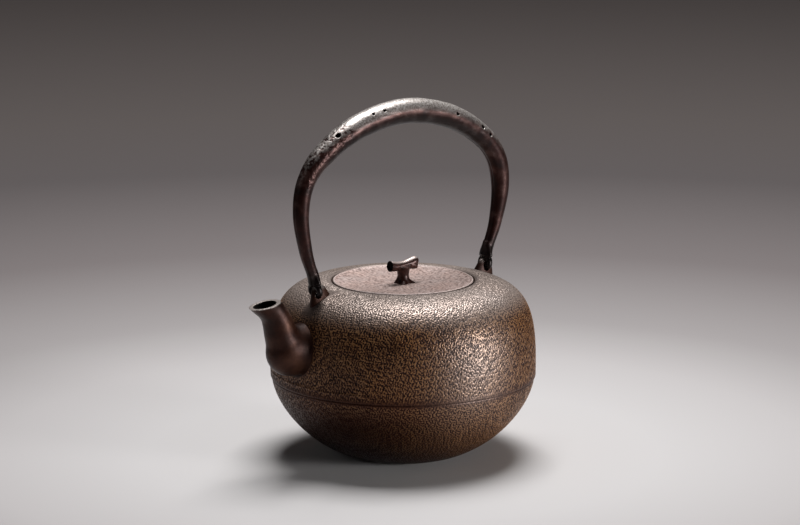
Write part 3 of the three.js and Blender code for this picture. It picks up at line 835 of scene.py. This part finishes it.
def ear_object(name, side):
    """A stack of level sections, pierced for the claws."""
    turn = np.linspace(0, 2 * math.pi, 64, endpoint=False)
    along = np.sign(np.cos(turn)) * np.abs(np.cos(turn)) ** 0.6
    across = np.sign(np.sin(turn)) * np.abs(np.sin(turn)) ** 0.8
    crest_start = EAR_TOP - 2
    rings = []
    slopes = np.linspace(100, crest_start, 20)
    rounding = crest_start + 1.95 * np.sin(np.linspace(0.2, 1.5, 8))
    for z in np.concatenate([slopes, rounding]):
        crest = math.sqrt(max(0.0, 1 - ((z - crest_start) / 2) ** 2)) if z > crest_start else 1.0
        inner = np.interp(z, EAR_HEIGHTS, EAR_INNER_ENDS) + 1.6 * (1 - crest)
        outer = np.interp(z, EAR_HEIGHTS, EAR_OUTER_ENDS) - 1.6 * (1 - crest)
        thick = np.interp(z, EAR_HEIGHTS, EAR_WIDTHS) / 2 * (0.35 + 0.65 * crest)
        x = (inner + outer) / 2 + (outer - inner) / 2 * along
        narrow = 0.7 + 0.3 * fade(x, inner, inner + 7)
        rings.append(np.column_stack([side * x, side * thick * narrow * across, np.full(64, z)]) * MM)
    ear = grid_object(name, rings)
    ends = np.array([(side * HOLE_X[side], y, HOLE_Z) for y in (-9, 9)])
    hole = rings_along(ends * MM, np.array([(0, 1, 0)] * 2), [HOLE_RADIUS * MM] * 2, 32)
    carve(ear, grid_object("hole", hole))
    carve(ear, revolve("core", [((r - 1.2) * MM, (z - 1.2) * MM) for r, z in all_rows], 120))
    return melt(ear, 0.32 * MM, 3)


print("ear top", EAR_TOP, "mm")

# %% Make both ears
for name, side, node in (
    ("ear_casting_spout_side", -1, "ear_spout_side"),
    ("ear_casting_rear", 1, "ear_rear"),
):
    ear = ear_object(name, side)
    points = points_of(ear)
    move_points(ear, points + normals_of(ear) * (noise_at(points, 3 * MM, 4.4) * 0.08 - 0.08)[:, None] * MM)
    # Painted highlight: the ear's crest is painted pale grey.
    paint(ear, "wear_and_highlight", 0.55 * fade(points[:, 2], (EAR_TOP - 4) * MM, EAR_TOP * MM))
    paint(ear, "inside", np.zeros(len(points)))
    dress(ear, smooth_iron, "root", "smooth_cast_iron", node)

# %% [markdown]
# ## Handle
# The handle's line runs from one foot over the crown to the other, and its thickness swells from
# 7 mm at the ankles to 16 mm at the crown. Two claws at each foot pass either side of the ear
# and hook into its hole. The tube is hollow, and rust has eaten small holes through its wall.

# %% Handle: tube, hollow, claws and worm holes
HANDLE_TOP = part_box("handle")[1].z / MM
APEX, ANKLE, FOOT, OVERHANG = 8.25, 3.6, 3.75, 0.6
SIDE = {-1: 5.1, 1: 5.8}
FOOT_Z, FOOT_OUTSET = EAR_TOP + 0.6, 1.1
CLAW, CLAW_FLAT, CLAW_TIP = 1.95, 0.74, 1.5
WORM_HOLES = [
    (0.388, 40, 1.7),
    (0.448, 44, 0.9),
    (0.464, 50, 0.9),
    (0.578, 70, 1),
    (0.632, 62, 1.2),
    (0.654, 68, 1.3),
]


def handle_leg(side):
    """Stations up one leg: how far out, how high and how thick."""
    top_z = HANDLE_TOP - APEX
    foot_x, widest = HOLE_X[side] + FOOT_OUTSET, BODY_RADIUS + OVERHANG - SIDE[side]
    rise, bow = top_z - FOOT_Z, widest - foot_x
    leg = [
        (foot_x, 0, FOOT),
        (foot_x + bow * 0.2, 0.075, ANKLE),
        (foot_x + bow * 0.66, 0.215, ANKLE * 1.18),
        (widest, 0.44, SIDE[side]),
        (widest * 0.95, 0.638, SIDE[side] * 1.15),
        (widest * 0.775, 0.797, APEX * 0.88),
        (widest * 0.44, 0.939, APEX * 0.97),
    ]
    return [(side * x, 0, FOOT_Z + rise * share, radius) for x, share, radius in leg]


def handle_rows():
    return handle_leg(-1) + [(0, 0, HANDLE_TOP - APEX, APEX)] + handle_leg(1)[::-1]


def handle_tube(name, start, end, inset, count):
    where, heading = smooth_line(handle_rows(), np.linspace(start, end, count))
    return grid_object(name, rings_along(where[:, :3] * MM, heading[:, :3], (where[:, 3] - inset) * MM, 40))


def claw_object(side, front):
    """One claw, wider along the ear than across it, which hooks into the ear's hole."""
    clear = EAR_THICK / 2 + 0.3 + CLAW * CLAW_FLAT + 0.15
    rows = [
        (-FOOT_OUTSET, 1.2, 0, CLAW * 1.3),
        (-FOOT_OUTSET * 0.85, clear * 0.78, 0.24, CLAW * 1.12),
        (-FOOT_OUTSET * 0.54, clear + 0.1, 0.5, CLAW),
        (-FOOT_OUTSET * 0.1, clear, 0.88, CLAW * 0.95),
        (0, EAR_THICK / 2 - 0.1, 1, CLAW_TIP),
        (0, 1.2, 1, CLAW_TIP),
    ]
    stations = [
        (side * (HOLE_X[side] - inwards), front * apart, FOOT_Z + (HOLE_Z - FOOT_Z) * down, radius)
        for inwards, apart, down, radius in rows
    ]
    where, heading = smooth_line(stations, np.linspace(0, 1, 30))
    rings = rings_along(where[:, :3] * MM, heading[:, :3], where[:, 3] * MM, 20, flat=CLAW_FLAT)
    return grid_object("claw", rings)


def fork(side):
    """The widened end of a leg, from which its two claws spring."""
    turn = np.linspace(0, 2 * math.pi, 40, endpoint=False)
    spread = EAR_THICK / 2 + 0.3 + 2 * CLAW * CLAW_FLAT
    rings = []
    for rise in np.linspace(0.15, 10, 14):
        share = float(fade(rise, 0.5, 9))
        half_y = spread + (ANKLE - 0.3 - spread) * share
        half_x = CLAW * 1.45 + (ANKLE - 0.3 - CLAW * 1.45) * share
        x = HOLE_X[side] + FOOT_OUTSET + 0.02 * rise**2
        along, across = side * x + half_x * np.cos(turn), half_y * np.sin(turn)
        rings.append(np.column_stack([along, across, np.full(40, FOOT_Z + rise)]) * MM)
    return grid_object("fork", rings)


def worm_hole(place, turn, radius):
    """A ragged cutter through the handle's wall, pointing out of its front."""
    where, heading = smooth_line(handle_rows(), [place])
    ahead = heading[0, :3] / np.linalg.norm(heading[0, :3])
    crown = np.cross(ahead, (0, 1, 0))
    out = crown * math.cos(math.radians(turn)) + np.array((0, -1, 0)) * math.sin(math.radians(turn))
    centre, reach = where[0, :3], where[0, 3]
    ends = np.array([centre + out * reach * 0.3, centre + out * (reach - 0.8), centre + out * (reach + 1.5)])
    wide = np.array([radius * 0.8, radius, radius * 1.35])
    return grid_object("worm_hole", rings_along(ends * MM, np.array([out] * 3), wide * MM, 12, flat=0.8))


handle = handle_tube("handle_forged", 0, 1, 0, 200)
for side in (-1, 1):
    carve(handle, fork(side), "UNION")
    for front in (-1, 1):
        carve(handle, claw_object(side, front), "UNION")
carve(handle, handle_tube("handle_hollow", 0.2, 0.8, 1.3, 90))
for place, turn, radius in WORM_HOLES:
    carve(handle, worm_hole(place, turn, radius))
melt(handle, 0.4 * MM, 2)
print("handle", len(handle.data.vertices), "points")

# %% [markdown]
# ## Handle: forge marks, flaked scale, wear and painted light
# The hammer leaves shallow dents, the hand a polish, and the fire a patch of flaked scale at the
# crown's left. Dents and flakes are pressed into the mesh, so that light catches their edges. The
# wear is an attribute, which also holds a painted highlight on the crown's upper side, and a
# second one darkens the feet and paints shade under the crown.

# %% Handle: forge marks, flaked scale, wear and painted light
points, normals = points_of(handle), normals_of(handle)
x, y, z = points.T / MM
crown = fade(z, 170, 206)
flaked = fade(x, -42, -50) * fade(x, -84, -78) * fade(z, 176, 184)
dents = noise_at(points, 9 * MM, 6.1) * 0.2 + noise_at(points, 3.2 * MM, 8.8) * 0.05
flakes = np.maximum(0, noise_at(points, 2.0 * MM, 2.9) + 0.5 * noise_at(points, 0.9 * MM, 7.7))
scored = noise_at(points * (0.2, 1, 1), 1.6 * MM, 9.4) * 0.05
sunk = (dents + scored + 0.15) * crown + flaked * (0.05 + 0.28 * flakes)
seam = np.exp(-((y / 0.5) ** 2)) * (z > 150) * (normals[:, 2] < 0.2)
move_points(handle, points - normals * ((sunk + 0.4 * seam) * MM)[:, None])
# Painted highlight: faces that look up are bared brighter.
lit_from_above = fade(normals[:, 2], 0.05, 0.9)
streaks = noise_at(points * (0.15, 1, 1), 2.5 * MM, 5.2) * 0.35
bared_and_highlit = crown * lit_from_above * (1 + streaks) - flaked * (0.2 + 1.2 * flakes)
paint(handle, "wear_and_highlight", bared_and_highlit)
# Darker towards the feet, and painted shade on the crown's underside.
paint(handle, "dark_feet_and_shade", 1 - fade(z, 119, 138) + 0.85 * crown * fade(normals[:, 2], 0.1, -0.5))
dress(handle, forged_iron, "root", "forged_iron", "handle")

# %% [markdown]
# ## Lid, knob
# The lid is turned like the body, dished in the middle, with a rounded rim. The knob is a twig
# in iron: a short stem that spreads at its foot and carries a sagging, cut branch.

# %% Lid
DISH, PLATE = 2.4, 2.4
LID_TOP = RIM_HEIGHT - DISH
UNDER = LID_TOP - PLATE
LID_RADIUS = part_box("lid")[1].x / MM
FLANGE = MOUTH_RADIUS - 0.4
dish_edge = LID_RADIUS - 2.4
dish = [(7 + (dish_edge - 7) * s, LID_TOP + 1.6 * s**2) for s in np.linspace(1, 0, int(80 * FINE))]
rim = [
    (LID_RADIUS - 1.8, RIM_HEIGHT - 0.36),
    (LID_RADIUS - 1.45, RIM_HEIGHT - 0.18),
    (LID_RADIUS - 1.1, RIM_HEIGHT - 0.11),
    (LID_RADIUS - 0.75, RIM_HEIGHT - 0.14),
    (LID_RADIUS - 0.4, RIM_HEIGHT - 0.3),
    (LID_RADIUS - 0.1, RIM_HEIGHT - 0.65),
]
lid_rows = [
    (2.3, UNDER),
    (8, UNDER),
    (20, UNDER),
    (FLANGE - 2.4, UNDER),
    (FLANGE - 2, UNDER - 0.4),
    (FLANGE - 2, LEDGE - 6.7),
    (FLANGE - 1.7, LEDGE - 7),
    (FLANGE - 0.3, LEDGE - 7),
    (FLANGE, LEDGE - 6.7),
    (FLANGE, LEDGE),
    (LID_RADIUS - 0.1, LEDGE),
    *rim[::-1],
    *dish,
    (2.3, LID_TOP),
]
lid = revolve("lid_plate", [(r * MM, z * MM) for r, z in lid_rows], int(540 * FINE), closed=True)
points, normals = points_of(lid), normals_of(lid)
r_here = np.hypot(points[:, 0], points[:, 1]) / MM
on_top = (normals[:, 2] > 0.5) & (points[:, 2] > (LID_TOP - 0.1) * MM)
sandy = on_top * fade(r_here, LID_RADIUS - 2, LID_RADIUS - 5) * fade(r_here, 5.5, 8)
grit = np.maximum(0, noise_at(points, 1.9 * MM, 8.1)) * 0.34
move_points(lid, points - normals * (sandy * (grit + 0.03) * MM)[:, None])
# Pits, and the rim's outer edge painted dark as the shade in the gap under it.
paint(lid, "pits", sandy * grit * 1.3 + fade(r_here, LID_RADIUS - 0.5, LID_RADIUS - 0.1))
# The rim's top is brighter: partly rubbed, partly a painted highlight.
paint(lid, "wear_and_highlight", 0.35 * np.exp(-(((r_here - LID_RADIUS + 0.85) / 0.45) ** 2)) * on_top)
dress(lid, lid_iron, "lid", "lid_iron", "lid")

# %% [markdown]
# ## Knob
# A turned stem would look like a drawer pull. Rings whose radius swells in four directions give
# the stem its roots, a bent tube of changing width is the twig, and melting joins them.

# %% Knob
STEM, STEM_HEIGHT, TWIG_HALF, TWIG, SAG, LIFT = 4.2, 11, 10.75, 3.55, 2.2, 0.4
ROOTS = [(-38, 3.4, 3.2), (142, 1.6, 4), (-128, 3.2, 3.4), (52, 2.2, 3)]
axis = LID_TOP + STEM_HEIGHT + LIFT
ROUND_END = 1.2


def root_stem():
    """A stem whose foot spreads into roots. Each root has a direction, a reach and a height."""
    turn = np.linspace(0, 2 * math.pi, 72, endpoint=False)
    rings = [np.column_stack([2 * np.cos(turn), 2 * np.sin(turn), np.full(72, LID_TOP - 4.2)])]
    for rise in (-0.3, 0.05, 0.4, 0.8, 1.3, 1.9, 2.6, 3.6, 5, 6.5, 8, 9.5, 10.6):
        r = np.full(72, STEM * np.interp(rise, [0, 2, 5, 8, 10.6], [1.05, 0.98, 0.9, 1.0, 1.15]))
        for toward, reach, height in ROOTS:
            lobe = np.maximum(0, np.cos(turn - math.radians(toward))) ** 7
            r = r + reach * lobe * max(0.0, 1 - max(rise, 0) / height) ** 1.7
        rings.append(np.column_stack([r * np.cos(turn), r * np.sin(turn), np.full(72, LID_TOP + rise)]))
    return grid_object("knob_twig", [ring * MM for ring in rings])


knob = root_stem()
twig_rows = [
    (-TWIG_HALF, 0, axis + SAG * 0.25, TWIG * 1.02),
    (-TWIG_HALF * 0.55, 0, axis - SAG * 0.1, TWIG * 0.9),
    (0, 0, axis, TWIG * 0.85),
    (TWIG_HALF * 0.5, 0, axis + SAG * 0.35, TWIG * 0.92),
    (TWIG_HALF + ROUND_END, 0, axis + SAG + 0.3, TWIG),
]
where, heading = smooth_line(twig_rows, np.linspace(0, 1, 40))
rounded = np.sqrt(np.clip(1 - ((np.linspace(0, 1, 40) - 0.84) / 0.163) ** 2, 0.02, 1))
swell = where[:, 3] * np.where(np.linspace(0, 1, 40) > 0.84, rounded, 1)
twig = grid_object("twig", rings_along(where[:, :3] * MM, heading[:, :3], swell * MM, 32))
carve(knob, twig, "UNION")
nub_ends = np.array([(5, -0.6, axis - 0.2), (8.2, -1.2, axis - 1.1), (10, -1.6, axis - 1.5)])
nub_line, nub_ahead = smooth_line(nub_ends, np.linspace(0, 1, 12))
nub = rings_along(nub_line * MM, nub_ahead, np.linspace(2.9, 1.8, 12) * MM, 20)
carve(knob, grid_object("nub", nub), "UNION")
head = [
    (0.5, UNDER - 2.2),
    (2.6, UNDER - 2.2),
    (3.3, UNDER - 1.7),
    (3.3, UNDER - 1.02),
    (2, UNDER - 1),
    (2, LID_TOP),
]
carve(knob, revolve("head", [(r * MM, z * MM) for r, z in head], 32), "UNION")
melt(knob, 0.27 * MM, 2)
points, normals = points_of(knob), normals_of(knob)
end = fade(-normals[:, 0], 0.75, 0.95) * (points[:, 0] < -0.85 * TWIG_HALF * MM)
from_middle = np.hypot(points[:, 1], points[:, 2] - (axis + SAG * 0.3) * MM) / MM
hollowed = end * fade(from_middle, 3.1, 2.1)
bark = noise_at(points * (0.35, 1, 1), 2.2 * MM, 3.3) * 0.16 + noise_at(points, 5 * MM, 1.1) * 0.15
on_twig = fade(points[:, 2], (LID_TOP + 1) * MM, (LID_TOP + 4) * MM)
move_points(knob, points - normals * ((hollowed * 1.4 + (bark + 0.12) * on_twig) * MM)[:, None])
paint(knob, "cut", end)
# Painted highlight: the twig's upward faces are paler, with some polish.
paint(knob, "wear_and_highlight", fade(normals[:, 2], 0.5, 0.95) * fade(points[:, 2], (axis - 1) * MM, (axis + 3) * MM))
dress(knob, knob_iron, "lid", "knob_iron", "lid_knob")

# %% [markdown]
# ## Floor and light
# A sweep of paper whose colour holds a painted light falloff: pale round the kettle and painted
# darker further off, where less light falls in a studio, and darker in front of it as a painted
# shade, standing in for a black card that keeps reflections off the iron.
# The key is one soft light above and behind: it skims the top and leaves the front dark.
# A softbox low on the right puts the second highlight on the belly, and a weak one fills the left.

# %% Floor
PAPER_REACH, FRONT_SHADE_START = 3.0, 0.24
paper, sheet_shader = new_material("studio_paper")
place = add(paper, "ShaderNodeTexCoord").outputs["Object"]
distance = add(paper, "ShaderNodeVectorMath", {0: place}, operation="LENGTH").outputs["Value"]
nearer = add(paper, "ShaderNodeVectorMath", {0: place, 1: -level}, operation="DOT_PRODUCT").outputs["Value"]
# Painted shade in front of the kettle, standing in for a black card.
front_shade = add(paper, "ShaderNodeMapRange", {0: nearer, 1: FRONT_SHADE_START, 2: 1.0, 4: 1.6}).outputs[0]
dimmed = add(paper, "ShaderNodeMath", {0: distance, 1: front_shade}, operation="ADD").outputs[0]
share = add(paper, "ShaderNodeMath", {0: dimmed, 1: PAPER_REACH}, operation="DIVIDE").outputs[0]
# Painted light falloff: pale near the kettle, darker further off.
tone = add(
    paper,
    "ShaderNodeValToRGB",
    {"Fac": share},
    [
        (0.0, srgb("#ccc9c8")),
        (0.055, srgb("#c8c5c5")),
        (0.09, srgb("#bab6b6")),
        (0.13, srgb("#9a9595")),
        (0.21, srgb("#746d6d")),
        (0.33, srgb("#565050")),
        (0.43, srgb("#5a5351")),
        (0.8, srgb("#5c5452")),
    ],
).outputs["Color"]
paper.node_tree.links.new(tone, sheet_shader.inputs["Base Color"])
sheet_shader.inputs["Roughness"].default_value = 0.9
HALF_FLOOR = 8.0
corners = [(x * HALF_FLOOR, y * HALF_FLOOR, 0) for x, y in ((-1, -1), (1, -1), (1, 1), (-1, 1))]
floor_mesh = bpy.data.meshes.new("floor")
floor_mesh.from_pydata(corners, [], [(0, 1, 2, 3)])
floor_mesh.materials.append(paper)
floor = bpy.data.objects.new("floor", floor_mesh)
bpy.context.scene.collection.objects.link(floor)
print("floor", HALF_FLOOR * 2, "m")


# %% Lights
def softbox(name, azimuth, elevation, distance, size, power, spread=180):
    """A square area light that faces the kettle. Azimuth 0 is in front of it, as for the camera."""
    lamp = bpy.data.lights.new(name, "AREA")
    lamp.size, lamp.energy, lamp.spread = size, power, math.radians(spread)
    light = bpy.data.objects.new(name, lamp)
    a, e = math.radians(azimuth), math.radians(elevation)
    towards = Vector((math.sin(a) * math.cos(e), -math.cos(a) * math.cos(e), math.sin(e)))
    light.location = Vector((0, 0, 0.09)) + towards * distance
    light.rotation_mode = "QUATERNION"
    light.rotation_quaternion = towards.to_track_quat("Z", "Y")
    bpy.context.scene.collection.objects.link(light)
    print(name, power, "W")


CAMERA_AZIMUTH = math.degrees(AZIMUTH)
softbox("top_light", CAMERA_AZIMUTH + 166, 74, 2.2, 1.15, 63)
softbox("right_box", CAMERA_AZIMUTH + 65, 5, 1.7, 0.42, 5.3, 90)
softbox("left_fill", CAMERA_AZIMUTH - 65, 25, 1.6, 0.9, 0.9)

world = bpy.data.worlds.new("studio")
world.use_nodes = True
bpy.context.scene.world = world
background = world.node_tree.nodes["Background"]
background.inputs["Color"].default_value = srgb("#cfccce")
background.inputs["Strength"].default_value = 0.04
print("world fill", background.inputs["Strength"].default_value)
